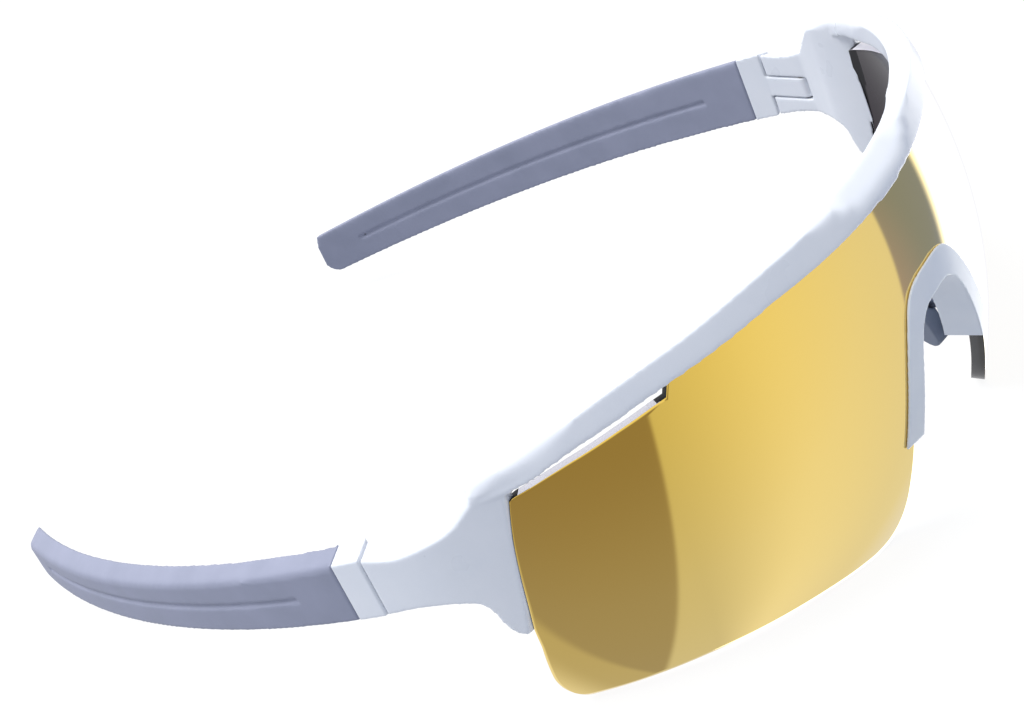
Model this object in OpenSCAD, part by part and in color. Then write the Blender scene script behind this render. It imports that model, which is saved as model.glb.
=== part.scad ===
// Cycling glasses: one-piece shield lens in a half frame, folding temples with rubber sleeves.
// X runs across the face, the front faces -Y and +Z is up. The lowest point is at z = 0.
// Measures inside are taken from the hinge seam (y = 0) and the temple's inner top edge (z = 0).

/* [Lens] */
// Outer radius of the lens, seen from above
lens_r = 70; // [60:0.5:95]
// Outer radius of the lens, seen from the side
lens_side_r = 80; // [60:1:140]
// Thickness of the lens
lens_t = 2.2; // [1.2:0.1:3]
// How far the lens's front lies before the hinge seam
lens_front = 60.5; // [54:0.1:70]
// Height of the lens's foremost point under the temple's top edge
lens_bulge_drop = 8; // [4:0.5:12]
// How far the lens's side edge lies before the hinge seam, at mid height
lens_side_end = 22.4; // [21:0.1:24]
// Depth of the lens's lower edge under the temple's top edge
lens_drop = 36.4; // [32:0.2:42]
// Height of the open vent slot between the lens and the brow
vent_h = 1.7; // [0.8:0.1:2]
// Length of the vent slot across the face
vent_len = 15.2; // [8:0.2:18]
// Distance of the vent slot's outer end from the hinge seam's half width
vent_end = 10.8; // [10.4:0.1:16]

/* [Brow] */
// Height of the brow's lower edge in the middle
brow_low = 12.1; // [8:0.1:15]
// Height of the brow's front face in the middle
brow_h = 5.2; // [4:0.1:8]
// Depth of the brow from front to rear
brow_depth = 4.8; // [4:0.1:8]
// How far the brow stands before the lens
brow_proud = 1.2; // [0.8:0.1:2]
// How far the lens goes up into the brow's groove
groove_h = 2; // [1:0.1:2.6]
// Half width of the scooped stretch in the middle of the brow
scoop_half_w = 12; // [6:0.5:18]
// How far the lens's side edge is let into the end pieces
side_lap = 0.8; // [0.4:0.1:1.2]
// How deep the scoop cuts the brow's front edge at its ends
scoop_drop = 3.1; // [1:0.1:3.4]
// How deep the scoop cuts the brow's front edge in the middle
scoop_mid_drop = 4.4; // [3.2:0.1:4.5]

/* [End pieces and hinges] */
// How much wider the frame is at the hinge seams than at the lens's side edges, on each side
seam_flare = 7.49; // [6:0.01:10]
// Wall thickness of the temples and of the frame at the hinge seam
temple_t = 3.6; // [3.4:0.1:4.6]
// Height of the temples at the hinge seam
seam_h = 13.1; // [11.5:0.1:16]
// Gap at the hinge seam
seam_gap = 0.3; // [0.2:0.05:0.6]
// Distance of the hinge pin before the seam
pin_fwd = 7.8; // [7:0.1:8.4]
// Radius of the temple's tongue about the pin
tongue_r = 1.35; // [1.25:0.05:1.5]
// Height of the temple's tongue
tongue_h = 4; // [3.2:0.1:4.6]
// Outer wall of the end piece beside the hinge pocket
hinge_wall = 1; // [0.9:0.05:1.2]
// Clearance round the tongue
tongue_gap = 0.3; // [0.25:0.05:0.4]
// Radius of the hinge screw's shank
screw_r = 0.6; // [0.5:0.05:0.7]
// Radius of the hinge screw's head
screw_head_r = 0.95; // [0.85:0.05:1]
// Radial clearance of the hinge screw in the tongue
pin_gap = 0.04; // [0.02:0.01:0.08]

/* [Temples] */
// Length of the temples behind the hinge seam
temple_len = 109; // [95:1:125]
// Radius of the temples' inner face, seen from above
temple_r = 194; // [150:1:260]
// Where the temples are farthest apart, behind the seam
temple_wide = 22; // [10:1:30]
// Fall of the temple's top edge in degrees
temple_fall = 11.8; // [8:0.1:15]
// Fall of the temple's lower edge in degrees
temple_low_fall = 10.4; // [7:0.1:14]
// Length of the bare stub before the sleeve
stub_len = 5.8; // [4:0.1:9]
// Rubber wall of the sleeve round the core
sleeve_wall = 0.8; // [0.7:0.05:1]
// Length of the stiff core inside the sleeve
core_len = 52; // [40:1:70]
// Radius of the bendable wire in the sleeve
wire_r = 0.55; // [0.4:0.05:0.6]

/* [Nose piece] */
// How far the nose clip stands before the lens
clip_proud = 0.5; // [0.4:0.05:1]
// Depth of the nose clip from front to rear
clip_depth = 6.3; // [5:0.1:8]
// Lap of the nose clip over the lens's edge
clip_lap = 1.8; // [1.2:0.1:2.2]
// Height of a nose pad
pad_h = 15; // [12:0.5:18]
// Width of a nose pad
pad_w = 6.4; // [5:0.2:8]
// Thickness of a nose pad
pad_t = 2.8; // [2.4:0.1:3.4]

/* [Hidden] */
fit_gap = 0.05;
pad_x = 13.1;
pad_y = 12.4 - lens_front;
pad_z = -18.6;
core_x = pad_x - 0.2;
core_y = lens_t + 2.4 - lens_front;
insert_r = screw_r + 0.35;
rest_z = lens_drop + 1.8;
rest_y = (lens_front + clip_proud - temple_len - 0.9) / 2;
centre_y = lens_r - lens_front;
ring_r = lens_r - lens_side_r;
seam_half_w = seam_flare + sqrt(lens_r * lens_r - (lens_side_end + centre_y) * (lens_side_end + centre_y));
span = seam_half_w / 69.8;
vent_out = seam_half_w - vent_end;
vent_in = vent_out - vent_len;
temple_in = seam_half_w - temple_t;
tan_in = 0.22;
in_turn = atan(tan_in);
pin_x = temple_in - pin_fwd * tan_in + tongue_r / cos(in_turn);
pin_y = -pin_fwd;
tongue_mid = -6.9;
pocket_top = tongue_mid + tongue_h / 2 + tongue_gap;
seat_z = pocket_top - 5.9;
insert_h = 2.4;
end_r = 56;
end_cx = seam_half_w - end_r * cos(6.3);
end_cy = end_r * sin(6.3);
temple_cx = temple_in - sqrt(temple_r * temple_r - temple_wide * temple_wide);
top_tilt = 22;
low_tilt = 14;
end_at = temple_in + 2;
round_n = 180;
lens_n = 360;

// A smooth open curve through points, n steps between each two.
function knot(p, i) = p[min(max(i, 0), len(p) - 1)];
function bend(a, b, c, d, t) =
    0.5 * (2 * b + (c - a) * t + (2 * a - 5 * b + 4 * c - d) * t * t + (3 * b - a - 3 * c + d) * t * t * t);
function smooth(p, n = 4) = concat(
    [for (i = [0 : len(p) - 2]) for (k = [0 : n - 1])
        bend(knot(p, i - 1), p[i], p[i + 1], knot(p, i + 2), k / n)],
    [p[len(p) - 1]]);
function flip(p) = [for (i = [len(p) - 1 : -1 : 0]) if (p[i][0] > 0.001) [-p[i][0], p[i][1]]];

// Height of the brow's lower and upper edge in the front view, as [x, z].
brow_low_line = [for (p = [[0, 0], [15, 0.2], [27, 0.2], [38, -0.9], [45, -1.8], [50, -3], [56, -4.8],
    [60, -6.6], [64, -7.2]]) [p[0] * span, p[1] + brow_low]];
brow_top_line = [for (p = [[0, 0], [15, 0], [28, -0.5], [40, -2.1], [45, -2.9], [50, -4.1], [55, -5.9],
    [58, -7.3], [61, -8.6], [64, -10]]) [p[0] * span, p[1] + brow_low + brow_h]];

// Depth of the lens's groove in the brow, less under the scoop.
groove_depth = [[0, 0.3], [scoop_half_w - 3, 0.3], [scoop_half_w - 1.8, 1.3], [scoop_half_w + 0.2, 1.3],
    [scoop_half_w + 1.4, groove_h], [70, groove_h]];
function groove_line(end_x, gap) = [for (x = concat([for (i = [9 : -1 : 0]) 16.5 + (end_x - 16.5) * i / 9],
    [scoop_half_w + 1.4, scoop_half_w + 0.2, scoop_half_w - 1.8, scoop_half_w - 3, 4.5, 0]))
    [x, lookup(x, brow_low_line) + lookup(x, groove_depth) + gap]];

// Upper edge of the end piece, as [y, z] at x = end_at, then its lower edge.
end_top_line = [[4, -0.9], [0, -1.1], [-5, -1.5], [-8, -1.2], [-11.5, -0.5], [-14, 0.1], [-16.8, 1.2],
    [-18.8, 2.3], [-20, 3.4], [-21.4, 4.6], [-22.7, 5.3], [-25, 5.8], [-32, 5.6]];
end_low_line = [[-32, -18], [-20.6, -17.9], [-18.7, -17.9], [-17.3, -16.8], [-16.5, -15], [-16, -12.9],
    [-14.8, -11.4], [-12.3, -10.9], [-8.6, -10.9], [-4.5, -11.4], [0, -12.4], [4, -12.6]];
// Inner ridge of the end piece, as [y, z].
ridge_line = [[2, -1.2], [-3, 0], [-6.3, 2.2], [-9.6, 5], [-12.6, 7.2], [-15.4, 7.7], [-19.6, 8.8],
    [-24.8, 9], [-30, 9]];
// Inner face of the end piece from above, as [x, y].
end_in_line = [[temple_in + 0.44, 2], [temple_in, 0], [temple_in - tan_in * 4, -4],
    [temple_in - tan_in * pin_fwd, -pin_fwd], [temple_in - tan_in * 9.6, -9.6], [temple_in - 3.5, -12.4],
    [temple_in - 4.9, -15], [temple_in - 6.1, -19.6], [temple_in - 7.4, -27]];
// Where the lens meets the end piece in the side view, as [y, z].
wing_line = [[-lens_side_end - 2.9, 6], [-lens_side_end - 2.3, 3.7], [-lens_side_end - 1, -2.6],
    [-lens_side_end, -8.2], [-lens_side_end + 1.1, -14], [-lens_side_end + 2.3, -19]];
// The lens's free lower corner in the side view, as [y, z].
corner_line = [[-lens_side_end + 3.8, -23.1], [-lens_side_end + 5.1, -28], [-lens_side_end + 5.9, -31.6],
    [-lens_side_end + 5.8, -34.4], [-lens_side_end + 4.8, -36.4], [-lens_side_end + 2.9, -37.4],
    [-lens_side_end, -37.6]];

// Nose opening, as [x, z]: outer edge of the clip, its inner edge, and the lens's cut edge.
clip_out = [[0, -0.6], [3, -0.7], [5.8, -1.4], [7.7, -2.9], [9.7, -5.9], [12, -10.6], [14, -16],
    [15.5, -20.6], [16.1, -22.6]];
clip_in = [[12, -23], [9.9, -16], [7.8, -10.4], [5.6, -7], [3, -5.6], [0, -5.4]];
cut_line = [[0, -0.8 - clip_lap], [2.2, -2.7], [4.8, -3.5], [6.6, -5], [8.6, -8.2], [10.1, -11.4],
    [12.1, -16.5], [13.4, -21], [14.3, -25], [15.2, -29], [16.2, -33], [17.6, -35.8], [19.8, -37.6],
    [22.6, -38.2]];
cut_inner = [for (p = cut_line) [max(0, p[0] - fit_gap), p[1] - fit_gap]];

module placed() {
    translate([0, rest_y, rest_z]) children();
}

module both_sides() {
    children();
    mirror([1, 0, 0]) children();
}

// Solid inside the lens's curved surface, moved out by off.
module curved_body(off) {
    translate([0, centre_y, 0])
        rotate_extrude($fn = lens_n)
            intersection() {
                translate([ring_r, -lens_bulge_drop]) circle(lens_side_r + off, $fn = lens_n);
                translate([0, -45]) square([lens_r + 20, 75]);
            }
}

module curved_wall(off_out, off_in) {
    difference() {
        curved_body(off_out);
        curved_body(off_in);
    }
}

// Shape drawn in the front view, pushed through the front half.
module from_front(depth = 90) {
    translate([0, -depth + 4, 0]) mirror([0, 1, 0]) rotate([90, 0, 0]) linear_extrude(depth) children();
}

// Profile [y, z] pushed across in X and tilted, so that it has its stated height at x = at.
module from_side(profile, at, tilt) {
    translate([at, 0, 0]) rotate([0, tilt, 0]) rotate([90, 0, 90])
        linear_extrude(60, center = true) polygon([for (p = profile) [p[0], p[1] * cos(tilt)]]);
}

module lens_outline() {
    low = lens_drop;
    bottom = [[22.6, -38.2], [27, -low - 1.4], [33, -low - 0.7], [40, -low - 0.2], [48, -low],
        [56, -low - 0.4], [61, -low - 1]];
    vent_top = [for (i = [0 : 8]) let (x = vent_out + (vent_in - vent_out) * i / 8)
        [x, lookup(x, brow_low_line) - vent_h]];
    groove_top = groove_line(vent_in - 0.3, 0);
    ends = [[90, -low - 1], [90, 4.8], [vent_out + 0.6, 4.8], [vent_out + 0.2, brow_low - 6.6]];
    half = concat(smooth(cut_line, 5), smooth(bottom, 4), ends, vent_top, groove_top);
    polygon(concat(half, flip(half)));
}

// Side view of the lens in front of its side edges, moved back by lap.
module lens_side(lap) {
    edge = concat(smooth([for (p = wing_line) [p[0] + lap, p[1]]]), smooth(corner_line));
    translate([-90, 0, 0]) rotate([90, 0, 90]) linear_extrude(180)
        polygon(concat([[-90, -60], [-90, 30], [wing_line[0][0] + lap, 30]], edge, [[-lens_side_end, -60]]));
}

module lens() {
    color([0.86, 0.72, 0.36])
        placed()
            intersection() {
                curved_wall(0, -lens_t);
                from_front() lens_outline();
                lens_side(side_lap);
            }
}

module brow_band() {
    top = smooth(brow_top_line);
    low = smooth(brow_low_line);
    upper = concat(flip(top), top);
    lower = concat(flip(low), low);
    intersection() {
        difference() {
            curved_body(brow_proud);
            translate([0, centre_y, -60]) cylinder(r = lens_r - 1.3 - brow_depth, h = 120, $fn = lens_n);
        }
        from_front() polygon(concat(upper, [for (i = [len(lower) - 1 : -1 : 0]) lower[i]]));
        // The band's rear ends run out slantwise into the end pieces.
        translate([0, 0, -40]) linear_extrude(80)
            polygon([[-90, -90], [90, -90], [90, -19.6], [seam_half_w - 9.7, -19.6], [seam_half_w - 19.3, -29.8],
                [19.3 - seam_half_w, -29.8], [9.7 - seam_half_w, -19.6], [-90, -19.6]]);
    }
}

module end_plan(h = 80) {
    translate([0, 0, -h / 2]) linear_extrude(h)
        intersection() {
            translate([end_cx, end_cy]) circle(end_r, $fn = lens_n);
            polygon(concat(smooth(end_in_line, 4), [[temple_in - 7.4, -40], [90, -40], [90, 2]]));
            translate([0, -60]) square([90, 60]);
        }
}

module end_piece() {
    difference() {
        intersection() {
            end_plan();
            union() {
                from_side(concat(smooth(end_top_line), [[-32, -60], [4, -60]]), end_at, top_tilt);
                intersection() {
                    from_side(concat(smooth(ridge_line), [[-30, -60], [2, -60]]), temple_in - 5.2, 54);
                    from_side(concat(smooth(ridge_line), [[-30, -60], [2, -60]]), temple_in - 5.2, -6);
                }
            }
            from_side(concat(smooth(end_low_line), [[4, 60], [-32, 60]]), end_at, -low_tilt);
        }
        // Everything before the lens, forward of the line where the lens ends.
        difference() {
            translate([30, 0, 0]) rotate([90, 0, 90]) linear_extrude(60)
                polygon(concat([[-90, -60], [-90, wing_line[0][1]]], wing_line,
                    [[-lens_side_end + 2.3, -60]]));
            curved_body(-lens_t - fit_gap);
        }
    }
}

// Hinge pocket between the two ears, open to the inner face and to the rear.
module hinge_pocket() {
    h = tongue_h + 2 * tongue_gap;
    r = tongue_r + tongue_gap;
    translate([0, 0, tongue_mid - h / 2]) {
        translate([pin_x, pin_y, 0]) cylinder(r = r, h = h, $fn = 48);
        linear_extrude(h) polygon([[pin_x - 7, pin_y - r + 1.4], [pin_x, pin_y - r],
            [pin_x + r, pin_y], [seam_half_w - hinge_wall, pin_y + pin_fwd], [seam_half_w - hinge_wall, 3],
            [pin_x - 7, 3]]);
    }
}

module screw_seat() {
    translate([pin_x, pin_y, -30]) {
        cylinder(r = screw_r + fit_gap, h = 30 + pocket_top + insert_h, $fn = 32);
        cylinder(r = screw_head_r + fit_gap, h = 30 + seat_z, $fn = 32);
    }
    translate([pin_x, pin_y, pocket_top - 0.5]) cylinder(r = insert_r + fit_gap, h = insert_h + 0.6, $fn = 32);
}

module brow_scoop(half_w, drop) {
    a = asin(half_w / lens_r);
    rear = lens_r - 2.2 - brow_depth * 0.75;
    top = brow_low + brow_h;
    translate([0, centre_y, 0]) rotate([0, 0, -90 - a]) rotate_extrude(angle = 2 * a, $fn = lens_n)
        polygon([[rear, top + 0.05], [lens_r - 1.2, top - drop + 0.9], [lens_r, top - drop + 0.3],
            [lens_r + 6, top - drop - 0.6], [lens_r + 6, top + 4], [rear, top + 4]]);
}

module frame_front() {
    color([0.88, 0.9, 0.95])
        placed()
            difference() {
                union() {
                    brow_band();
                    both_sides() end_piece();
                }
                intersection() {
                    curved_wall(fit_gap, -lens_t - fit_gap);
                    from_front() groove_outline();
                    lens_side(side_lap + fit_gap);
                }
                brow_scoop(scoop_half_w, scoop_drop);
                brow_scoop(scoop_half_w - 3, scoop_mid_drop);
                both_sides() {
                    hinge_pocket();
                    screw_seat();
                }
            }
}

// Front view of the groove that holds the lens, with a small gap.
module groove_outline() {
    g = fit_gap;
    groove = groove_line(vent_in - 0.2, g);
    polygon(concat([[vent_in - 0.2, -60]], groove, flip(groove), [[0.2 - vent_in, -60]]));
    translate([vent_in - 4, -60]) square([50, 64.8 + g]);
    translate([-46 - vent_in, -60]) square([50, 64.8 + g]);
}

module nose_bridge() {
    outer = smooth(clip_out, 4);
    inner = smooth(clip_in, 4);
    outline = concat(outer, inner, flip(inner), flip(outer));
    color([0.85, 0.88, 0.93])
        placed()
            difference() {
                intersection() {
                    curved_wall(clip_proud, clip_proud - clip_depth);
                    from_front() polygon(outline);
                }
                intersection() {
                    curved_wall(fit_gap, -lens_t - fit_gap);
                    from_front() difference() {
                        translate([-30, -40]) square([60, 60]);
                        polygon(concat(smooth(cut_inner, 5), flip(smooth(cut_inner, 5))));
                    }
                }
                both_sides() pad_wire(0.03);
            }
}

module pad_wire(extra) {
    translate([core_x, core_y, pad_z + 1.4]) rotate([-90, 0, 0])
        cylinder(r = 0.8 + extra, h = pad_y - 1.4 - core_y + extra, $fn = 32);
}

module pad_place() {
    translate([pad_x, pad_y, pad_z]) rotate([0, -14, -24]) children();
}

module nose_pad() {
    difference() {
        pad_place() {
            translate([-pad_t / 2, 0, 0]) rotate([90, 0, 90]) linear_extrude(pad_t) {
                square([pad_w, pad_h - pad_w], center = true);
                translate([0, (pad_h - pad_w) / 2]) circle(pad_w / 2, $fn = round_n);
                translate([0, -(pad_h - pad_w) / 2]) circle(pad_w / 2, $fn = round_n);
            }
        }
        pad_wire(0.03);
    }
}

module nose_pad_left() {
    color([0.36, 0.39, 0.46]) placed() nose_pad();
}

module nose_pad_right() {
    color([0.36, 0.39, 0.46]) placed() mirror([1, 0, 0]) nose_pad();
}

module nose_pad_core_left() {
    color([0.7, 0.7, 0.72]) placed() pad_wire(0);
}

module nose_pad_core_right() {
    color([0.7, 0.7, 0.72]) placed() mirror([1, 0, 0]) pad_wire(0);
}

// Curved slab of the temple between two distances from its inner face.
module temple_slab(from_in, to_in, y0, y1) {
    intersection() {
        translate([temple_cx, temple_wide, -60]) difference() {
            cylinder(r = temple_r + to_in, h = 90, $fn = lens_n);
            translate([0, 0, -1]) cylinder(r = temple_r + from_in, h = 92, $fn = lens_n);
        }
        translate([20, y0, -60]) cube([70, y1 - y0, 90]);
    }
}

// Ring about the temple's own centre, falling to the rear, with the section given as [out, z].
module falling_ring(section, fall) {
    rotate([-fall, 0, 0]) translate([temple_cx, temple_wide / cos(fall), 0]) rotate([0, 0, -15])
        rotate_extrude(angle = 50, $fn = lens_n) translate([temple_r, 0]) polygon(section);
}

// Space between the temple's slanted upper and lower faces, drawn in by inset.
module temple_height(inset) {
    t = temple_t;
    drop = t * tan(top_tilt);
    rise = t * tan(low_tilt);
    intersection() {
        falling_ring([[-12, drop * 12 / t - inset], [t + 6, -drop * (t + 6) / t - inset], [t + 6, -50],
            [-12, -50]], temple_fall);
        translate([0, 0, -seam_h]) falling_ring([[-12, -rise * 12 / t + inset],
            [t + 6, rise * (t + 6) / t + inset], [t + 6, 50], [-12, 50]], temple_low_fall);
    }
}

module tongue() {
    r = tongue_r;
    root = seam_half_w - hinge_wall - tongue_gap;
    translate([0, 0, tongue_mid - tongue_h / 2]) {
        translate([pin_x, pin_y, 0]) cylinder(r = r, h = tongue_h, $fn = 48);
        linear_extrude(tongue_h) polygon([[pin_x - r * cos(in_turn), pin_y + r * sin(in_turn)],
            [pin_x, pin_y - r * 0.2], [pin_x + r, pin_y], [root, 0], [root, 1.5], [temple_in + 0.4, 1.5],
            [temple_in + 0.02, 0.1]]);
    }
}

module temple() {
    difference() {
        union() {
            intersection() {
                temple_slab(0, temple_t, seam_gap, stub_len);
                temple_height(0);
            }
            intersection() {
                temple_slab(sleeve_wall, temple_t - sleeve_wall, stub_len - 1, core_len);
                temple_height(sleeve_wall + 0.8);
            }
            tongue();
        }
        translate([pin_x, pin_y, -20]) cylinder(r = screw_r + pin_gap, h = 30, $fn = 32);
        temple_wire(fit_gap, 40);
    }
}

module temple_left() {
    color([0.88, 0.9, 0.95]) placed() temple();
}

module temple_right() {
    color([0.88, 0.9, 0.95]) placed() mirror([1, 0, 0]) temple();
}

// Wire that runs back from the core along the middle of the sleeve.
module temple_wire(extra, y0 = 42) {
    mid_fall = (temple_fall + temple_low_fall) / 2;
    intersection() {
        translate([temple_cx, temple_wide, -seam_h / 2 - temple_wide * tan(mid_fall)])
            rotate([-mid_fall, 0, 0]) rotate([0, 0, -10]) rotate_extrude(angle = 50, $fn = lens_n)
                translate([temple_r + temple_t / 2, 0]) circle(wire_r + extra, $fn = 32);
        translate([20, y0, -60]) cube([70, temple_len - 8 - y0 + extra, 60]);
    }
}

module temple_wire_left() {
    color([0.6, 0.6, 0.62]) placed() temple_wire(0);
}

module temple_wire_right() {
    color([0.6, 0.6, 0.62]) placed() mirror([1, 0, 0]) temple_wire(0);
}

module sleeve() {
    groove_d = 0.4;
    tip_r = 3;
    tip_y = temple_len + 0.9 - tip_r;
    tip_z = -seam_h - tip_y * tan(temple_low_fall) + tip_r / cos(temple_low_fall);
    difference() {
        intersection() {
            temple_slab(0, temple_t, stub_len + fit_gap, temple_len + 2);
            temple_height(0);
            // Slanted end with a round lower corner.
            rotate([90, 0, 90]) linear_extrude(90) polygon(concat([[0, 20], [0, -seam_h - 2]],
                [for (a = [-90 - temple_low_fall : 12 : 0]) [tip_y + tip_r * cos(a), tip_z + tip_r * sin(a)]],
                [[tip_y + tip_r, tip_z + 1], [temple_len - 1.4, 20]]));
        }
        intersection() {
            temple_slab(sleeve_wall - fit_gap, temple_t - sleeve_wall + fit_gap, 0, core_len + fit_gap);
            temple_height(sleeve_wall + 0.8 - fit_gap);
        }
        temple_wire(fit_gap, 38);
        // Lengthwise grooves in the inner and the outer face.
        intersection() {
            union() {
                temple_slab(-1, groove_d, 16, temple_len - 8);
                temple_slab(temple_t - groove_d, temple_t + 1, 16, temple_len - 8);
            }
            rotate([90, 0, 90]) linear_extrude(90) polygon([
                [16, -9.4], [temple_len - 8, -9.4 - (temple_len - 24) * tan(11)],
                [temple_len - 8, -10.4 - (temple_len - 24) * tan(11)], [16, -10.4]]);
        }
    }
}

module temple_sleeve_left() {
    color([0.62, 0.62, 0.74]) placed() sleeve();
}

module temple_sleeve_right() {
    color([0.62, 0.62, 0.74]) placed() mirror([1, 0, 0]) sleeve();
}

module hinge_screw() {
    difference() {
        union() {
            translate([pin_x, pin_y, seat_z - 0.4]) cylinder(r = screw_r, h = pocket_top + insert_h - seat_z + 0.2, $fn = 32);
            translate([pin_x, pin_y, seat_z - 0.7]) cylinder(r = screw_head_r, h = 0.68, $fn = 32);
        }
        translate([pin_x - 1.5, pin_y - 0.15, seat_z - 0.9]) cube([3, 0.3, 0.5]);
    }
}

module hinge_screw_left() {
    color([0.6, 0.6, 0.62]) placed() hinge_screw();
}

module hinge_screw_right() {
    color([0.6, 0.6, 0.62]) placed() mirror([1, 0, 0]) hinge_screw();
}

module hinge_insert() {
    translate([pin_x, pin_y, pocket_top + fit_gap]) difference() {
        cylinder(r = insert_r, h = insert_h, $fn = 32);
        translate([0, 0, -1]) cylinder(r = screw_r + 0.02, h = 6, $fn = 32);
    }
}

module hinge_insert_left() {
    color([0.75, 0.62, 0.3]) placed() hinge_insert();
}

module hinge_insert_right() {
    color([0.75, 0.62, 0.3]) placed() mirror([1, 0, 0]) hinge_insert();
}

frame_front();
lens();
nose_bridge();
nose_pad_left();
nose_pad_right();
nose_pad_core_left();
nose_pad_core_right();
temple_left();
temple_right();
temple_sleeve_left();
temple_sleeve_right();
temple_wire_left();
temple_wire_right();
hinge_screw_left();
hinge_screw_right();
hinge_insert_left();
hinge_insert_right();
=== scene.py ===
import bpy
import bmesh
import math
from functools import partial
from mathutils import Matrix, Vector


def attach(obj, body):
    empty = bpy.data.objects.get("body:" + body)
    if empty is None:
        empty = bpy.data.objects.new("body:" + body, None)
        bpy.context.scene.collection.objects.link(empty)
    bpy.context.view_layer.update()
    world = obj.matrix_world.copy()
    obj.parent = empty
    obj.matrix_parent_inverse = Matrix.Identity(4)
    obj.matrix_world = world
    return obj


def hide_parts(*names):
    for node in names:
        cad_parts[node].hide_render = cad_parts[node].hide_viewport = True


# Cycling glasses: half frame with a mirrored shield lens, grooved rubber sleeves on folding arms.
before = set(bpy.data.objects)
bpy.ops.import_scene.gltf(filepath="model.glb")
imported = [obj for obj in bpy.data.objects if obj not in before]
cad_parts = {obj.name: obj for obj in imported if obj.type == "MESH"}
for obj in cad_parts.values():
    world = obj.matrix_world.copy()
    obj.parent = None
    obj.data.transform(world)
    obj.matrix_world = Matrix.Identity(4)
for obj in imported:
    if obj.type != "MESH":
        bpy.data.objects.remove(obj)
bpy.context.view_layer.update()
mm = 0.001

cameraView = {
    "place": (-225.594, -225.131, 195.181),  # mm
    "right": (0.4961, -0.7841, -0.3730),
    "up": (0.6178, 0.0169, 0.7862),
    "lens": 73.51,
    "sensor": 36,
    "shift": (0.00645, 0.0241),
    "clip": (0.01, 50),  # m
}


def setCamera(view):
    data = bpy.data.cameras.new("productCamera")
    data.lens, data.sensor_width = view["lens"], view["sensor"]
    data.shift_x, data.shift_y = view["shift"]
    data.clip_start, data.clip_end = view["clip"]
    right, up = Vector(view["right"]).normalized(), Vector(view["up"]).normalized()
    back = right.cross(up).normalized()
    up = back.cross(right)
    turn = Matrix((right, up, back)).transposed().to_4x4()
    camera = bpy.data.objects.new("productCamera", data)
    camera.matrix_world = Matrix.Translation(Vector(view["place"]) * mm) @ turn
    bpy.context.scene.collection.objects.link(camera)
    bpy.context.scene.camera = camera


setCamera(cameraView)
bpy.context.scene.view_settings.view_transform = "Standard"
print("camera set")


# Colour of a hex code, as linear values.
def hexColour(code):
    values = [int(code[i:i + 2], 16) / 255 for i in (0, 2, 4)]
    return tuple(v / 12.92 if v <= 0.04045 else ((v + 0.055) / 1.055) ** 2.4 for v in values) + (1,)


# Joins another node's output to a socket, or gives the socket a fixed value.
def feed(tree, socket, value):
    if isinstance(value, bpy.types.NodeSocket):
        tree.links.new(value, socket)
    else:
        socket.default_value = value


def addNode(tree, kind, settings=None, inputs=None):
    node = tree.nodes.new(kind)
    for name, value in (settings or {}).items():
        setattr(node, name, value)
    for name, value in (inputs or {}).items():
        feed(tree, node.inputs[name], value)
    return node


def mathNode(tree, operation, a, b=0.0):
    node = addNode(tree, "ShaderNodeMath", {"operation": operation})
    for socket, value in zip(node.inputs, (a, b)):
        feed(tree, socket, value)
    return node.outputs[0]


def setRamp(node, stops, mode="LINEAR"):
    ramp = node.color_ramp
    ramp.interpolation = mode
    while len(ramp.elements) < len(stops):
        ramp.elements.new(0.5)
    for element, (place, colour) in zip(ramp.elements, stops):
        element.position = place
        element.color = colour


# Empty material with one shader, and the place on the object that its textures go by.
def newMaterial(name):
    material = bpy.data.materials.new(name)
    material.use_nodes = True
    tree = material.node_tree
    tree.nodes.clear()
    output = addNode(tree, "ShaderNodeOutputMaterial")
    shader = addNode(tree, "ShaderNodeBsdfPrincipled")
    tree.links.new(shader.outputs[0], output.inputs["Surface"])
    place = addNode(tree, "ShaderNodeTexCoord").outputs["Object"]
    return material, tree, shader, place


# The middle part of a noise's values, over which one tone turns into the other.
toneFrom, toneTo = 0.3, 0.7


# Moulded plastics and rubbers: two close tones in slow patches, and a fine grain in the surface.
def mouldedMaterial(name, look):
    material, tree, shader, place = newMaterial(name)
    patches = addNode(tree, "ShaderNodeTexNoise", None,
                      {"Vector": place, "Scale": 1 / (look["patchMm"] * mm), "Detail": 3, "Roughness": 0.5})
    tone = addNode(tree, "ShaderNodeValToRGB", None, {"Fac": patches.outputs["Fac"]})
    setRamp(tone, [(toneFrom, hexColour(look["darkTone"])), (toneTo, hexColour(look["lightTone"]))])
    tree.links.new(tone.outputs["Color"], shader.inputs["Base Color"])
    rough = addNode(tree, "ShaderNodeMapRange", None,
                    {"Value": patches.outputs["Fac"], "From Min": toneFrom, "From Max": toneTo,
                     "To Min": look["roughness"] - look["roughSpread"],
                     "To Max": look["roughness"] + look["roughSpread"]})
    tree.links.new(rough.outputs["Result"], shader.inputs["Roughness"])
    grain = addNode(tree, "ShaderNodeTexNoise", None,
                    {"Vector": place, "Scale": 1 / (look["grainMm"] * mm), "Detail": 2})
    bump = addNode(tree, "ShaderNodeBump", None,
                   {"Height": grain.outputs["Fac"], "Strength": look["grainStrength"],
                    "Distance": look["grainDepthMm"] * mm})
    tree.links.new(bump.outputs["Normal"], shader.inputs["Normal"])
    shader.inputs["IOR"].default_value = look["ior"]
    shader.inputs["Coat Weight"].default_value = look.get("coat", 0)
    shader.inputs["Coat Roughness"].default_value = look.get("coatRoughness", 0.1)
    return material


# Injection-moulded nylon from a polished tool: an even, cool white with soft highlights.
nylonLook = {"lightTone": "F1F3F8", "darkTone": "ECEFF5", "roughness": 0.3, "roughSpread": 0.03,
             "patchMm": 9, "grainMm": 0.35, "grainStrength": 0.08, "grainDepthMm": 0.03, "ior": 1.53,
             "coat": 0.25, "coatRoughness": 0.12}
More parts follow.
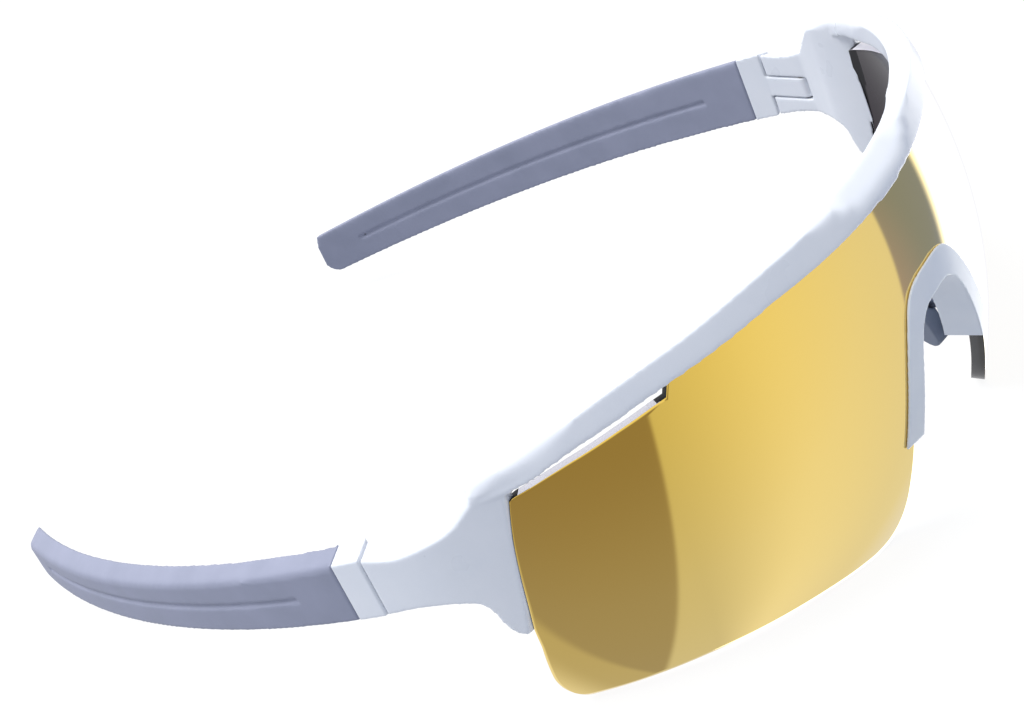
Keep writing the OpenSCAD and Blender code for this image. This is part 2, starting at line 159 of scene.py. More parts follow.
# The same nylon on the nose clip, a trace cooler.
clipLook = {"lightTone": "F2F6FB", "darkTone": "ECF1F8", "roughness": 0.32, "roughSpread": 0.03,
            "patchMm": 6, "grainMm": 0.35, "grainStrength": 0.08, "grainDepthMm": 0.03, "ior": 1.53,
            "coat": 0.2, "coatRoughness": 0.12}
# Thermoplastic rubber from an eroded tool: matt lavender grey, a little uneven in tone and gloss.
sleeveLook = {"lightTone": "9C9FB3", "darkTone": "9296AA", "roughness": 0.6, "roughSpread": 0.06,
              "patchMm": 7, "grainMm": 0.3, "grainStrength": 0.35, "grainDepthMm": 0.05, "ior": 1.5}
# Soft rubber of the nose pads: slate grey, finely matt.
padLook = {"lightTone": "7C8598", "darkTone": "727B8E", "roughness": 0.55, "roughSpread": 0.05,
           "patchMm": 4, "grainMm": 0.25, "grainStrength": 0.3, "grainDepthMm": 0.04, "ior": 1.43}

nylonWhite = mouldedMaterial("glossyNylonWhite", nylonLook)
nylonClip = mouldedMaterial("glossyNylonClip", clipLook)
sleeveRubber = mouldedMaterial("matteSleeveRubber", sleeveLook)
padRubber = mouldedMaterial("slatePadRubber", padLook)

# Polycarbonate with a vacuum-deposited gold mirror: the reflection is gold head-on and pales at a slant.
mirrorLook = {"turnTones": [(0.08, "F4D065"), (0.3, "F5D884"), (0.55, "F6DD94"), (0.85, "FFFFFF")],
              "roughness": 0.045, "roughSpread": 0.3, "hazeMm": 14}


def mirrorMaterial(name, look):
    material, tree, shader, place = newMaterial(name)
    facing = addNode(tree, "ShaderNodeLayerWeight", None, {"Blend": 0.5})
    tone = addNode(tree, "ShaderNodeValToRGB", None, {"Fac": facing.outputs["Facing"]})
    setRamp(tone, [(turned, hexColour(code)) for turned, code in look["turnTones"]])
    tree.links.new(tone.outputs["Color"], shader.inputs["Base Color"])
    haze = addNode(tree, "ShaderNodeTexNoise", None,
                   {"Vector": place, "Scale": 1 / (look["hazeMm"] * mm), "Detail": 2})
    rough = addNode(tree, "ShaderNodeMapRange", None,
                    {"Value": haze.outputs["Fac"],
                     "To Min": look["roughness"] * (1 - look["roughSpread"]),
                     "To Max": look["roughness"] * (1 + look["roughSpread"])})
    tree.links.new(rough.outputs["Result"], shader.inputs["Roughness"])
    shader.inputs["Metallic"].default_value = 1
    return material


# How dark the darker clouds in the tint are against the lighter ones.
cloudDepth = 0.92


# Tinted polycarbonate: plum grey behind the mirror, and on its cut edges; some cut edges also get a painted
# glow that stands in for light.
def tintMaterial(name, look):
    material, tree, shader, place = newMaterial(name)
    cloud = addNode(tree, "ShaderNodeTexNoise", None,
                    {"Vector": place, "Scale": 1 / (look["cloudMm"] * mm), "Detail": 2})
    tone = addNode(tree, "ShaderNodeValToRGB", None, {"Fac": cloud.outputs["Fac"]})
    base = hexColour(look["tone"])
    setRamp(tone, [(toneFrom, tuple(c * cloudDepth for c in base[:3]) + (1,)), (toneTo, base)])
    tree.links.new(tone.outputs["Color"], shader.inputs["Base Color"])
    shader.inputs["Roughness"].default_value = look["roughness"]
    shader.inputs["IOR"].default_value = look["ior"]
    shader.inputs["Emission Color"].default_value = base
    shader.inputs["Emission Strength"].default_value = look.get("paintedEdgeGlow", 0)
    return material


mirrorGold = mirrorMaterial("goldMirrorPolycarbonate", mirrorLook)
tintBack = tintMaterial("tintedPolycarbonateBack",
                        {"tone": "2E262E", "roughness": 0.1, "ior": 1.22, "cloudMm": 16})
tintEdge = tintMaterial("tintedPolycarbonateEdge",
                        {"tone": "5C5A58", "roughness": 0.25, "ior": 1.45, "cloudMm": 8})
# Painted glow: the cut edge that faces up is made pale and lit by its own emission, standing in for light.
paintedLightEdgeUp = tintMaterial("edgeUpWithPaintedGlow",
                      {"tone": "ECE8EC", "roughness": 0.25, "ior": 1.45, "cloudMm": 8, "paintedEdgeGlow": 0.3})
# Painted glow: the cut edge and bevels that face down are made amber and lit by their own emission.
paintedLightEdgeDown = tintMaterial("edgeDownWithPaintedGlow",
                        {"tone": "EDB682", "roughness": 0.25, "ior": 1.45, "cloudMm": 8, "paintedEdgeGlow": 0.25})
# Painted shade: near-black faces at the vents' ends and along the side grooves.
edgeShade = tintMaterial("edgeInShade",
                         {"tone": "141318", "roughness": 0.6, "ior": 1.3, "cloudMm": 8})


# Turned metals: even colour with fine rings left by the tool.
ringLook = {"ringMm": 0.2, "waveTurn": 6.28, "roughSpread": 0.05, "distortion": 0.4}


def turnedMaterial(name, colour, roughness):
    material, tree, shader, place = newMaterial(name)
    rings = addNode(tree, "ShaderNodeTexWave", {"bands_direction": "Z"},
                    {"Vector": place, "Scale": 1 / (ringLook["ringMm"] * mm) / ringLook["waveTurn"],
                     "Distortion": ringLook["distortion"], "Detail": 1})
    rough = addNode(tree, "ShaderNodeMapRange", None,
                    {"Value": rings.outputs["Fac"], "To Min": roughness - ringLook["roughSpread"],
                     "To Max": roughness + ringLook["roughSpread"]})
    tree.links.new(rough.outputs["Result"], shader.inputs["Roughness"])
    shader.inputs["Base Color"].default_value = hexColour(colour)
    shader.inputs["Metallic"].default_value = 1
    return material


screwSteel = turnedMaterial("turnedStainlessSteel", "C6C7CA", 0.28)
coreSteel = turnedMaterial("blackenedSteel", "4A5060", 0.5)
insertBrass = turnedMaterial("turnedBrass", "D9B871", 0.3)
print("materials made")


# Measures in mm from the hinge seam and the arm's top edge, as in the part's own drawing.
lensShape = {
    "planRadius": 70, "sideRadius": 80, "thickness": 2.2, "front": 60.5, "bulgeHeight": -8,
    "seamShift": (0, -24.45, 38.2), "sideLap": 0.8,
    "cornerTop": 3.75, "cornerGap": 0.7, "cornerRound": [(0.1, 0.4), (0.6, 0)],
    "ventTop": 1.7, "ventIn": 43.8, "ventOut": 59, "ventSlant": 2.2,
    "across": 150, "up": 64,
    "frontSteps": 5, "sideSteps": 4, "cornerSteps": 7, "ventSteps": 8, "browSteps": 23,
    "rimRounding": 0.22, "rimSegments": 2, "rimAngle": 60,
}
browLow = [(0, 12.1), (15, 12.3), (27, 12.3), (38, 11.2), (45, 10.3), (50, 9.1), (56, 7.3), (60, 5.5),
           (64, 4.9)]
grooveDepth = [(0, 0.3), (9, 0.3), (10.2, 1.3), (12.2, 1.3), (13.4, 2), (70, 2)]
noseCut = [(0, -2.6), (2.2, -2.7), (4.8, -3.5), (6.6, -5), (8.6, -8.2), (10.1, -11.4), (12.1, -16.5),
           (13.4, -21), (14.3, -25), (15.2, -29), (16.2, -33), (17.6, -35.8), (19.8, -37.6), (22.6, -38.2)]
lensBottom = [(22.6, -38.2), (27, -37.8), (33, -37.1), (40, -36.6), (48, -36.4), (56, -36.8)]
wingLine = [(-25.3, 6), (-24.7, 3.7), (-23.4, -2.6), (-22.4, -8.2), (-21.3, -14), (-20.1, -19)]
cornerLine = [(-18.6, -23.1), (-17.3, -28), (-16.5, -31.6), (-16.6, -34.4), (-17.6, -36.4), (-18.5, -36.95)]


# Curve through all the points of a line, with even steps from each point to the next.
def smoothLine(points, steps):
    def bend(a, b, c, d, t):
        square, cube = 2 * a - 5 * b + 4 * c - d, 3 * b - a - 3 * c + d
        return 0.5 * (2 * b + (c - a) * t + square * t * t + cube * t ** 3)

    line = []
    last = len(points) - 1
    for i in range(last):
        a, b, c, d = points[max(i - 1, 0)], points[i], points[i + 1], points[min(i + 2, last)]
        for k in range(steps):
            line.append(tuple(bend(a[j], b[j], c[j], d[j], k / steps) for j in (0, 1)))
    return line + [points[-1]]


# Height of a line of points at a given place, straight from point to point.
def heightAt(points, x):
    for (xa, za), (xb, zb) in zip(points, points[1:]):
        if x <= xb:
            return za + (zb - za) * (x - xa) / (xb - xa)
    return points[-1][1]


# Radius of the lens in plan at a given height.
def ringRadius(z):
    s = lensShape
    return s["planRadius"] - s["sideRadius"] + math.sqrt(s["sideRadius"] ** 2 - (z - s["bulgeHeight"]) ** 2)


# A point of the front view, or of the side view, as arc length on the flat sheet and height.
def fromFrontView(x, z):
    return math.asin(min(1, x / ringRadius(z))) * lensShape["planRadius"], z


def fromSideView(y, z):
    centreY = lensShape["planRadius"] - lensShape["front"]
    return math.acos(max(-1, min(1, (centreY - y) / ringRadius(z)))) * lensShape["planRadius"], z


# The same line again, cut into stretches of equal length.
def spread(line, count):
    lengths = [0]
    for a, b in zip(line, line[1:]):
        lengths.append(lengths[-1] + math.dist(a, b))
    out, k = [], 0
    for i in range(count + 1):
        want = lengths[-1] * i / count
        while k < len(lengths) - 2 and lengths[k + 1] < want:
            k += 1
        span = lengths[k + 1] - lengths[k] or 1
        t = (want - lengths[k]) / span
        out.append(tuple(line[k][j] + (line[k + 1][j] - line[k][j]) * t for j in (0, 1)))
    return out


# How far back the end piece's edge lies on the lens at a given height.
def wingAt(z):
    return heightAt([(high, y) for y, high in reversed(wingLine)], z)


def paintNode(name, material):
    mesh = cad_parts[name].data
    mesh.materials.clear()
    mesh.materials.append(material)


def linkObject(name, mesh):
    piece = bpy.data.objects.new(name, mesh)
    bpy.context.scene.collection.objects.link(piece)
    return piece


# How much the moulded pieces are rounded further: rounds of smoothing, and where they start and fade out.
# The brow's places are in mm from the middle, from the hinge seam and above the brow's lower edge.
easing = {
    "factor": 0.5, "weldMm": 0.002, "fadeMm": 4,
    "browRounds": 150, "scoopHalf": 18, "scoopFadeMm": 3, "scoopAbove": 0.6, "scoopRise": 1.2,
    "runOutRounds": 200, "runOutAbove": 1.2, "runOutFront": -34, "runOutRear": -8, "runOutInner": 44,
    "lowEdgeRounds": 42, "edgeAbove": 1.4, "edgeRise": 0.8, "edgeBelow": 2.4, "edgeOuter": 58,
    "sleeveRounds": 70, "sleeveEdgeMm": 2.4, "sleeveFrontMm": 0.4, "sleeveRowMm": 2,
}


# Smooths the chosen corners of a finished piece further; the weights fade out at the borders.
def easeCorners(piece, weights, rounds):
    soft = piece.vertex_groups.new(name="soft")
    for index, weight in weights.items():
        soft.add([index], weight, "REPLACE")
    ease = piece.modifiers.new("ease", "SMOOTH")
    ease.factor, ease.iterations, ease.vertex_group = easing["factor"], rounds, soft.name
    bakeModifiers(piece, piece.name)
    piece.vertex_groups.clear()


def bakeModifiers(piece, name):
    bpy.context.view_layer.update()
    graph = bpy.context.evaluated_depsgraph_get()
    mesh = bpy.data.meshes.new_from_object(piece.evaluated_get(graph))
    piece.modifiers.clear()
    piece.data = mesh
    mesh.name = name


# Slab outside the lens along its side edge: trims the half frame's skin back to a clean line there.
trimShape = {"rows": 26, "low": -22.6, "rise": 27.4,
             "before": -1.2, "past": 0.88, "inside": -0.7, "outside": 3}


def wingTrimmer(side):
    t, shift = trimShape, lensShape["seamShift"]
    centreY = lensShape["planRadius"] - lensShape["front"]
    solid = bmesh.new()
    rings = []
    for k in range(t["rows"] + 1):
        z = t["low"] + t["rise"] * k / t["rows"]
        ring = []
        for along, out in ((t["before"], t["inside"]), (t["past"], t["inside"]),
                           (t["past"], t["outside"]), (t["before"], t["outside"])):
            y = wingAt(z) + along
            x = math.sqrt((ringRadius(z) + out) ** 2 - (centreY - y) ** 2)
            ring.append(solid.verts.new((side * x * mm, (y + shift[1]) * mm, (z + shift[2]) * mm)))
        rings.append(ring)
    for a, b in zip(rings, rings[1:]):
        for k in range(4):
            solid.faces.new((a[k], a[(k + 1) % 4], b[(k + 1) % 4], b[k]))
    solid.faces.new(rings[0][::-1])
    solid.faces.new(rings[-1])
    bmesh.ops.recalc_face_normals(solid, faces=solid.faces)
    mesh = bpy.data.meshes.new("wingTrimmer")
    solid.to_mesh(mesh)
    solid.free()
    return linkObject("wingTrimmer", mesh)


# Rounds the ends of the brow's scoop, its run-out into the end pieces and its lower edge further.
def easeBrow(piece):
    e, shift = easing, lensShape["seamShift"]
    scoop, runOut, lowEdge = {}, {}, {}
    for vertex in piece.data.vertices:
        x, y, z = (vertex.co[k] / mm - shift[k] for k in (0, 1, 2))
        low = heightAt(browLow, abs(x))
        scoopFade = min(1, (e["scoopHalf"] - abs(x)) / e["scoopFadeMm"],
                        (z - low - e["scoopAbove"]) / e["scoopRise"])
        runOutFade = min(1, z - low - e["runOutAbove"], (abs(x) - e["runOutInner"]) / e["fadeMm"],
                         (y - e["runOutFront"]) / e["fadeMm"], (e["runOutRear"] - y) / e["fadeMm"])
        edgeFade = min(1, z - low + e["edgeBelow"], (low + e["edgeAbove"] - z) / e["edgeRise"],
                       (e["edgeOuter"] - abs(x)) / e["fadeMm"])
        if scoopFade > 0:
            scoop[vertex.index] = scoopFade
        if runOutFade > 0:
            runOut[vertex.index] = runOutFade
        if edgeFade > 0:
            lowEdge[vertex.index] = edgeFade
    easeCorners(piece, scoop, e["browRounds"])
    easeCorners(piece, runOut, e["runOutRounds"])
    easeCorners(piece, lowEdge, e["lowEdgeRounds"])


# Rounds the upper edges of a sleeve behind its front end, as the rubber's mould does.
def easeSleeve(piece):
    rowDepth, edgeHeight = easing["sleeveRowMm"] * mm, easing["sleeveEdgeMm"] * mm
    tops = {}
    for vertex in piece.data.vertices:
        row = int(vertex.co.y / rowDepth)
        tops[row] = max(tops.get(row, 0), vertex.co.z)
    front = min(vertex.co.y for vertex in piece.data.vertices) + easing["sleeveFrontMm"] * mm
    chosen = {}
    for vertex in piece.data.vertices:
        if vertex.co.y > front and vertex.co.z > tops[int(vertex.co.y / rowDepth)] - edgeHeight:
            chosen[vertex.index] = 1
    easeCorners(piece, chosen, easing["sleeveRounds"])


# Copy of a solid with every sharp edge softened, as on a piece that comes from a mould.
def softened(nodeName, pieceName, material, softness):
    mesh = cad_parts[nodeName].data.copy()
    mesh.materials.clear()
    shell = bmesh.new()
    shell.from_mesh(mesh)
    bmesh.ops.remove_doubles(shell, verts=shell.verts, dist=easing["weldMm"] * mm)
    shell.to_mesh(mesh)
    shell.free()
    piece = linkObject(pieceName, mesh)
    trimmers = [wingTrimmer(side) for side in (1, -1)] if nodeName == "frame_front" else []
    for trimmer in trimmers:
        trim = piece.modifiers.new("trim", "BOOLEAN")
        trim.operation, trim.object, trim.solver = "DIFFERENCE", trimmer, "EXACT"
    remesh = piece.modifiers.new("remesh", "REMESH")
    remesh.mode, remesh.voxel_size = "VOXEL", softness["cellMm"] * mm
    relax = piece.modifiers.new("relax", "SMOOTH")
    relax.factor, relax.iterations = easing["factor"], softness["rounds"]
    bakeModifiers(piece, pieceName)
    for trimmer in trimmers:
        bpy.data.objects.remove(trimmer)
    if nodeName == "frame_front":
        easeBrow(piece)
    if material is sleeveRubber:
        easeSleeve(piece)
    mesh = piece.data
    mesh.materials.clear()
    mesh.materials.append(material)
    mesh.polygons.foreach_set("use_smooth", [True] * len(mesh.polygons))
    print(pieceName, "faces", len(mesh.polygons))
    return piece


# How fine each moulding's copy is, and how far its edges are rounded.
frameSoftness = {"cellMm": 0.265, "rounds": 5}
clipSoftness = {"cellMm": 0.15, "rounds": 4}
padSoftness = {"cellMm": 0.22, "rounds": 14}
stubSoftness = {"cellMm": 0.2, "rounds": 4}
sleeveSoftness = {"cellMm": 0.25, "rounds": 6}
softenedPieces = {
    "frame_front": ("halfFrame", "frame", "frame_white", nylonWhite, frameSoftness),
    "nose_bridge": ("noseClip", "frame", "clip_white", nylonClip, clipSoftness),
    "nose_pad_left": ("nosePadLeft", "frame", "pad_rubber", padRubber, padSoftness),
    "nose_pad_right": ("nosePadRight", "frame", "pad_rubber", padRubber, padSoftness),
    "temple_left": ("armStubLeft", "arm_left", "frame_white", nylonWhite, stubSoftness),
    "temple_right": ("armStubRight", "arm_right", "frame_white", nylonWhite, stubSoftness),
    "temple_sleeve_left": ("sleeveLeft", "arm_left", "sleeve_rubber", sleeveRubber, sleeveSoftness),
    "temple_sleeve_right": ("sleeveRight", "arm_right", "sleeve_rubber", sleeveRubber, sleeveSoftness),
}
for nodeName, (pieceName, body, slotName, material, softness) in softenedPieces.items():
    piece = softened(nodeName, pieceName, material, softness)
    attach(piece, body)
    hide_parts(nodeName)
print("mouldings softened")

for nodeName, material in {
    "nose_pad_core_left": coreSteel, "nose_pad_core_right": coreSteel,
    "temple_wire_left": screwSteel, "temple_wire_right": screwSteel,
    "hinge_screw_left": screwSteel, "hinge_screw_right": screwSteel,
    "hinge_insert_left": insertBrass, "hinge_insert_right": insertBrass,
}.items():
    paintNode(nodeName, material)
print("metal pieces painted")


# Flat outline of the half lens as three lines of points: lower edge from the nose, side edge, upper edge.
def flatLens():
    s = lensShape
    front = smoothLine(noseCut, s["frontSteps"])[:-1] + smoothLine(lensBottom, s["frontSteps"])
    lower = [fromFrontView(*p) for p in front]
    corner = smoothLine(cornerLine, s["sideSteps"])
    wing = smoothLine([(y + s["sideLap"], z) for y, z in wingLine], s["sideSteps"])
    side = [fromSideView(y, z) for y, z in reversed(wing + corner) if z < s["cornerTop"] - s["cornerGap"]]
    lower += side[:s["cornerSteps"]]
    side = side[s["cornerSteps"] - 1:]
    outer = math.sin(side[-1][0] / s["planRadius"]) * ringRadius(s["cornerTop"])
    top = [(outer - inward, s["cornerTop"] - below) for inward, below in s["cornerRound"]]
    for i in range(s["ventSteps"] + 1):
        x = s["ventOut"] + (s["ventIn"] - s["ventOut"]) * i / s["ventSteps"]
        top.append((x, heightAt(browLow, x) - s["ventTop"]))
    for i in range(s["browSteps"] + 1):
        x = (s["ventIn"] - s["ventSlant"]) * (1 - i / s["browSteps"])
        top.append((x, heightAt(browLow, x) + heightAt(grooveDepth, x)))
    upper = [fromFrontView(*p) for p in reversed(top)]
    side[-1] = upper[-1]
    return lower, side, upper


# Both halves of the lens as one flat grid that follows the outline, blended from its four edges.
def flatSheet():
    nu, nv = lensShape["across"], lensShape["up"]
    lower, side, upper = flatLens()
    low, high = spread(lower, nu), spread(upper, nu)
    edge = spread(side, nv)
    middle = [(0, low[0][1] + (high[0][1] - low[0][1]) * j / nv) for j in range(nv + 1)]
    grid = bmesh.new()
    rows = {}
    for sign in (1, -1):
        for i in range(nu + 1):
            u = i / nu
            for j in range(nv + 1):
                v = j / nv
                point = []
                for k in (0, 1):
                    flat = ((1 - v) * low[i][k] + v * high[i][k] + (1 - u) * middle[j][k] + u * edge[j][k]
                            - (1 - u) * (1 - v) * low[0][k] - u * (1 - v) * low[nu][k]
                            - (1 - u) * v * high[0][k] - u * v * high[nu][k])
                    point.append(flat)
                if i == 0 and sign == -1:
                    rows[(sign, i, j)] = rows[(1, 0, j)]
                else:
                    rows[(sign, i, j)] = grid.verts.new((sign * point[0] * mm, 0, point[1] * mm))
        for i in range(nu):
            for j in range(nv):
                quad = [rows[(sign, i, j)], rows[(sign, i + 1, j)], rows[(sign, i + 1, j + 1)],
                        rows[(sign, i, j + 1)]]
                grid.faces.new(quad if sign == 1 else quad[::-1])
    mesh = bpy.data.meshes.new("lensSheet")
    grid.to_mesh(mesh)
    grid.free()
    return mesh


# Geometry Nodes: the flat sheet is wrapped on a surface with one radius in plan and one in the side view.
def wrapTree():
    tree = bpy.data.node_groups.new("wrapShield", "GeometryNodeTree")
    sockets = tree.interface
    sockets.new_socket("Geometry", in_out="INPUT", socket_type="NodeSocketGeometry")
    sizes = {}
    for name in ("Plan Radius", "Side Radius", "Bulge Height", "Centre Y", "Seam Y", "Seam Z"):
        sizes[name] = sockets.new_socket(name, in_out="INPUT", socket_type="NodeSocketFloat").identifier
    coat = sockets.new_socket("Coating", in_out="INPUT", socket_type="NodeSocketMaterial").identifier
    sockets.new_socket("Geometry", in_out="OUTPUT", socket_type="NodeSocketGeometry")
    start = addNode(tree, "NodeGroupInput").outputs
    end = addNode(tree, "NodeGroupOutput")

    calc = partial(mathNode, tree)
    flat = addNode(tree, "ShaderNodeSeparateXYZ", None,
                   {"Vector": addNode(tree, "GeometryNodeInputPosition").outputs[0]}).outputs
    rise = calc("SUBTRACT", flat["Z"], start["Bulge Height"])
    reach = calc("SQRT", calc("SUBTRACT", calc("POWER", start["Side Radius"], 2.0),
                              calc("POWER", rise, 2.0)))
    ring = calc("ADD", calc("SUBTRACT", start["Plan Radius"], start["Side Radius"]), reach)
    angle = calc("DIVIDE", flat["X"], start["Plan Radius"])
    x = calc("MULTIPLY", ring, calc("SINE", angle))
    y = calc("SUBTRACT", start["Centre Y"], calc("MULTIPLY", ring, calc("COSINE", angle)))
    place = addNode(tree, "ShaderNodeCombineXYZ", None,
                    {"X": x, "Y": calc("ADD", y, start["Seam Y"]),
                     "Z": calc("ADD", flat["Z"], start["Seam Z"])})
    bent = addNode(tree, "GeometryNodeSetPosition", None,
                   {"Geometry": start["Geometry"], "Position": place.outputs[0]})
    real = addNode(tree, "GeometryNodeRealizeInstances", None, {"Geometry": bent.outputs[0]})
    done = addNode(tree, "GeometryNodeSetMaterial", None,
                   {"Geometry": real.outputs[0], "Material": start["Coating"]})
    tree.links.new(done.outputs[0], end.inputs[0])
    return tree, sizes, coat


# Where the cut edge changes its look, with painted glow and painted shade, in mm; slope is the upright part
# of a face's normal.
edgePaint = {
    "slope": 0.42, "lapFrom": -24, "lapTo": 5, "wingLow": -19.6, "grooveShade": 1.4, "lipShade": 0.2,
    "lipLow": -18.5, "bevelLow": -20, "lowerHalf": -10, "noseHalf": 24,
    "ventEnd": 0.2, "slotInset": 1, "slotShade": 1.6,
}
lensMaterials = (mirrorGold, tintBack, tintEdge, paintedLightEdgeUp, paintedLightEdgeDown, edgeShade)
frontFace, backFace, cutFace, paintedLightUpFace, paintedLightDownFace, shadeFace = range(len(lensMaterials))


# Painted light and shade: the cut edge gets a painted glow where it faces up or down, and painted shade
# darkens the vents' ends, the side grooves and a thin line along the side edge.
def paintEdges(mesh):
    s, e = lensShape, edgePaint
    for face in mesh.polygons:
        x, y, z = (face.center[k] / mm - s["seamShift"][k] for k in (0, 1, 2))
        inLap = e["lapFrom"] < z < e["lapTo"]
        pastLap = y - wingAt(max(z, e["wingLow"])) - s["sideLap"] if inLap else -math.inf
        # Painted shade: a dark band on the back face along the side groove.
        if face.material_index == backFace:
            if pastLap > -e["grooveShade"]:
                face.material_index = shadeFace
        # Painted shade: a thin dark line on the front face along the end piece's edge.
        elif face.material_index == frontFace and pastLap > -e["lipShade"] and z > e["lipLow"]:
            face.material_index = cutFace
        # Painted glow: the front face's bevels along the lower edge that face down.
        elif face.material_index == frontFace and face.normal.z < -e["slope"] and z < e["bevelLow"]:
            face.material_index = paintedLightDownFace
        # Cut edges facing up or down: painted amber glow low down, painted shade at the vents' ends,
        # painted pale glow above.
        elif face.material_index == cutFace and abs(face.normal.z) > e["slope"]:
            atVentEnd = abs(x) > s["ventOut"] - e["ventEnd"]
            atVentStart = abs(abs(x) - s["ventIn"] + e["slotInset"]) < e["slotShade"]
            if z < e["lowerHalf"]:
                if face.normal.z < 0 and abs(x) > e["noseHalf"]:
                    face.material_index = paintedLightDownFace
            elif atVentEnd or atVentStart:
                face.material_index = shadeFace
            elif face.normal.z > 0:
                face.material_index = paintedLightUpFace


def makeLens():
    s = lensShape
    piece = linkObject("shieldLens", flatSheet())
    tree, sizes, coat = wrapTree()
    wrap = piece.modifiers.new("wrap", "NODES")
    wrap.node_group = tree
    values = {"Plan Radius": s["planRadius"], "Side Radius": s["sideRadius"],
              "Bulge Height": s["bulgeHeight"], "Centre Y": s["planRadius"] - s["front"],
              "Seam Y": s["seamShift"][1], "Seam Z": s["seamShift"][2]}
    for name, value in values.items():
        wrap[sizes[name]] = value * mm
    wrap[coat] = mirrorGold
    bakeModifiers(piece, "shieldLens")
    mesh = piece.data
    mesh.materials.clear()
    for material in lensMaterials:
        mesh.materials.append(material)
    wall = piece.modifiers.new("wall", "SOLIDIFY")
    wall.thickness, wall.offset = s["thickness"] * mm, -1
    wall.material_offset, wall.material_offset_rim = backFace, cutFace
    rim = piece.modifiers.new("rim", "BEVEL")
    rim.width, rim.segments, rim.limit_method = s["rimRounding"] * mm, s["rimSegments"], "ANGLE"
    rim.angle_limit = math.radians(s["rimAngle"])
    bakeModifiers(piece, "shieldLens")
    paintEdges(piece.data)
    piece.data.polygons.foreach_set("use_smooth", [True] * len(piece.data.polygons))
    print("shieldLens faces", len(piece.data.polygons), "materials", len(piece.data.materials))
    return piece


lens = makeLens()
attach(lens, "frame")
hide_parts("lens")
print("lens wrapped")


white = (1, 1, 1, 1)
# The even light of the room. Each fade runs between two values of a direction's lengthwise or upright part.
studio = {
    "floorSize": 4, "floorGlow": 0.91, "floorColour": "A8ACB4", "floorDim": (0.12, 0.12, 0.12, 1),
    "ambientSide": (0.31, 0.35, 0.41, 1),
    "ambientEnds": (0.12, 0.14, 0.175, 1), "endsFade": (0.3, 0.95),
    "ambientTop": (0.68, 0.72, 0.80, 1), "topFade": (-0.1, 0.7),
    "ambientLow": (0.26, 0.29, 0.35, 1), "lowFade": (0.0, -0.6),
    "sunStrength": 2.65, "sunAngle": 40, "sunFrom": (-0.21, 0.38, 1.0),
}
# What polished faces see. A turn is in degrees round from straight ahead, and the list gives the brightness
# there. Drops, bottoms, tops and fades run between two values of a direction's upright or rearward part.
reflected = {
    "ahead": [(-40, 0.64), (-15, 0.91), (5, 0.97), (40, 0.82)], "aheadSpan": 40.0,
    "wallLevel": (0.33, 0.29, 0.285, 1), "wallLow": (0.40, 0.37, 0.34, 1), "wallDrop": (-0.2, -0.95),
    "wallWedge": (0.54, 0.51, 0.44, 1), "wedgeTurn": (-90, -95), "wedgeDrop": (0.02, -0.06),
    "leftEdge": (0.755, -0.537, -0.133), "leftFade": (-0.005, -0.03),
    "panelTurn": (40.2, 41.8), "panelBottom": (-0.56, -0.5), "panelTop": (0.1, 0.0),
    "panelOlive": (0.275, 0.33, 0.52, 1), "panelBrown": (0.43, 0.39, 0.62, 1),
    "panelMix": (22.0, 46.0), "panelTilt": 30.0,
    "softboxStart": (64, 70), "softboxEnd": (125, 110), "softboxLight": (2.6, 2.6, 2.6, 1),
    "behind": (0.95, 0.95, 0.97, 1), "behindFade": (0.1, 0.3), "ceilingFade": (0.0, 0.15),
}


def makeFloor():
    mesh = bpy.data.meshes.new("studioFloor")
    half = studio["floorSize"] / 2
    corners = [(-half, -half, 0), (half, -half, 0), (half, half, 0), (-half, half, 0)]
    mesh.from_pydata(corners, [], [(0, 1, 2, 3)])
    floor = linkObject("studioFloor", mesh)
    material = bpy.data.materials.new("paperSweep")
    material.use_nodes = True
    tree = material.node_tree
    tree.nodes.clear()
    light = addNode(tree, "ShaderNodeLightPath")
    paper = addNode(tree, "ShaderNodeBsdfDiffuse", None, {"Color": hexColour(studio["floorColour"])})
    dim = addNode(tree, "ShaderNodeBsdfDiffuse", None, {"Color": studio["floorDim"]})
    glow = addNode(tree, "ShaderNodeEmission", None, {"Color": white, "Strength": studio["floorGlow"]})
    lit = addNode(tree, "ShaderNodeAddShader")
    tree.links.new(dim.outputs[0], lit.inputs[0])
    tree.links.new(glow.outputs[0], lit.inputs[1])
    mixed = addNode(tree, "ShaderNodeMixShader", None, {"Fac": light.outputs["Is Camera Ray"]})
    tree.links.new(paper.outputs[0], mixed.inputs[1])
    tree.links.new(lit.outputs[0], mixed.inputs[2])
    output = addNode(tree, "ShaderNodeOutputMaterial")
    tree.links.new(mixed.outputs[0], output.inputs["Surface"])
    mesh.materials.append(material)
    floor.visible_glossy = False


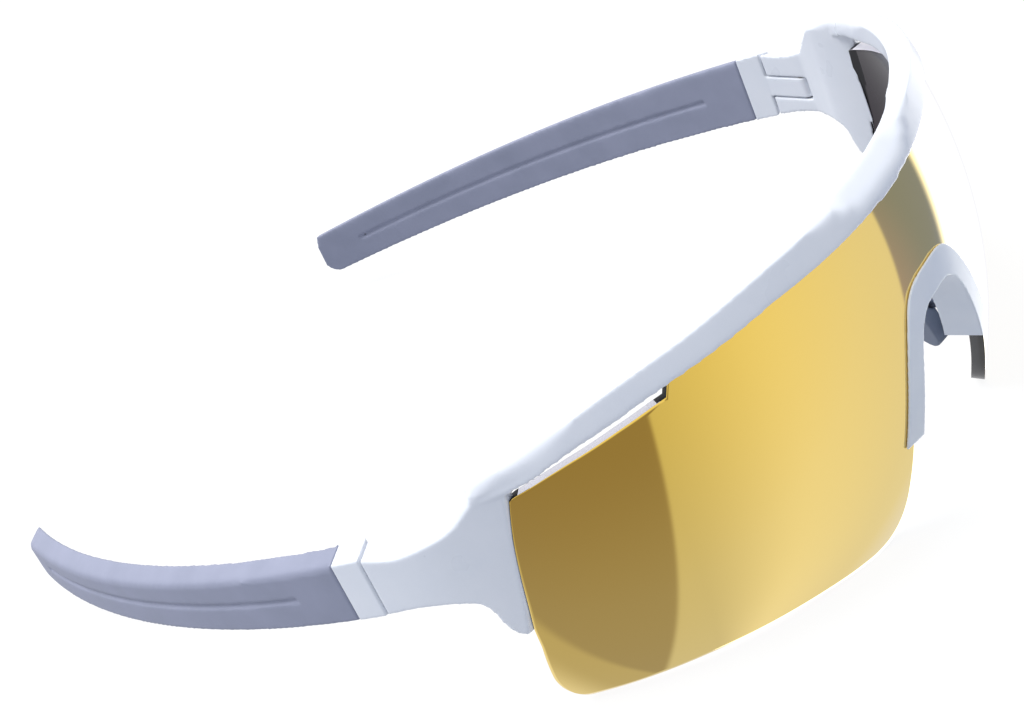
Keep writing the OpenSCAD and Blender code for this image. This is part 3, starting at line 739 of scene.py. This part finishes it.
def makeWorld():
    world = bpy.data.worlds.new("softStudio")
    bpy.context.scene.world = world
    world.use_nodes = True
    tree = world.node_tree
    tree.nodes.clear()
    calc = partial(mathNode, tree)

    def step(value, low, high):
        return addNode(tree, "ShaderNodeMapRange", {"interpolation_type": "SMOOTHSTEP"},
                       {"Value": value, "From Min": low, "From Max": high}).outputs["Result"]

    def mix(factor, a, b):
        node = addNode(tree, "ShaderNodeMix", {"data_type": "RGBA"})
        for socket, value in ((node.inputs[0], factor), (node.inputs[6], a), (node.inputs[7], b)):
            feed(tree, socket, value)
        return node.outputs[2]

    heading = addNode(tree, "ShaderNodeTexCoord").outputs["Generated"]
    part = addNode(tree, "ShaderNodeSeparateXYZ", None, {"Vector": heading}).outputs
    lengthwise = calc("ABSOLUTE", part["Y"])
    around = mix(step(lengthwise, *studio["endsFade"]), studio["ambientSide"], studio["ambientEnds"])
    ambient = mix(step(part["Z"], *studio["topFade"]), around, studio["ambientTop"])
    ambient = mix(step(part["Z"], *studio["lowFade"]), ambient, studio["ambientLow"])

    r = reflected
    turn = calc("MULTIPLY", calc("ARCTAN2", part["X"], calc("MULTIPLY", part["Y"], -1.0)), 180 / math.pi)
    span = r["aheadSpan"]
    place = addNode(tree, "ShaderNodeMapRange", None, {"Value": turn, "From Min": -span, "From Max": span})
    ahead = addNode(tree, "ShaderNodeValToRGB", None, {"Fac": place.outputs["Result"]})
    setRamp(ahead, [((a + span) / (2 * span), (v, v, v, 1)) for a, v in r["ahead"]], "B_SPLINE")
    colour = ahead.outputs["Color"]
    wall = mix(step(part["Z"], *r["wallDrop"]), r["wallLevel"], r["wallLow"])
    wedge = calc("MULTIPLY", step(turn, *r["wedgeTurn"]), step(part["Z"], *r["wedgeDrop"]))
    wall = mix(wedge, wall, r["wallWedge"])
    across = addNode(tree, "ShaderNodeVectorMath", {"operation": "DOT_PRODUCT"})
    tree.links.new(heading, across.inputs[0])
    across.inputs[1].default_value = Vector(r["leftEdge"]).normalized()
    colour = mix(step(across.outputs["Value"], *r["leftFade"]), colour, wall)
    panel = calc("MULTIPLY", step(turn, *r["panelTurn"]), step(part["Z"], *r["panelBottom"]))
    slant = calc("ADD", turn, calc("MULTIPLY", part["Z"], r["panelTilt"]))
    shade = mix(step(slant, *r["panelMix"]), r["panelBrown"], r["panelOlive"])
    colour = mix(calc("MULTIPLY", panel, step(part["Z"], *r["panelTop"])), colour, shade)
    softbox = calc("MULTIPLY", step(turn, *r["softboxStart"]), step(turn, *r["softboxEnd"]))
    colour = mix(softbox, colour, r["softboxLight"])
    colour = mix(step(part["Y"], *r["behindFade"]), colour, r["behind"])
    colour = mix(step(part["Z"], *r["ceilingFade"]), colour, white)
    path = addNode(tree, "ShaderNodeLightPath").outputs
    shown = mix(path["Is Glossy Ray"], ambient, colour)
    shown = mix(path["Is Camera Ray"], shown, white)
    background = addNode(tree, "ShaderNodeBackground", None, {"Color": shown})
    output = addNode(tree, "ShaderNodeOutputWorld")
    tree.links.new(background.outputs[0], output.inputs["Surface"])


def makeSun():
    data = bpy.data.lights.new("overheadSoftbox", "SUN")
    data.energy, data.angle = studio["sunStrength"], math.radians(studio["sunAngle"])
    sun = bpy.data.objects.new("overheadSoftbox", data)
    sun.rotation_mode = "QUATERNION"
    sun.rotation_quaternion = Vector(studio["sunFrom"]).normalized().to_track_quat("Z", "Y")
    bpy.context.scene.collection.objects.link(sun)


makeFloor()
makeWorld()
makeSun()
print("studio lit")
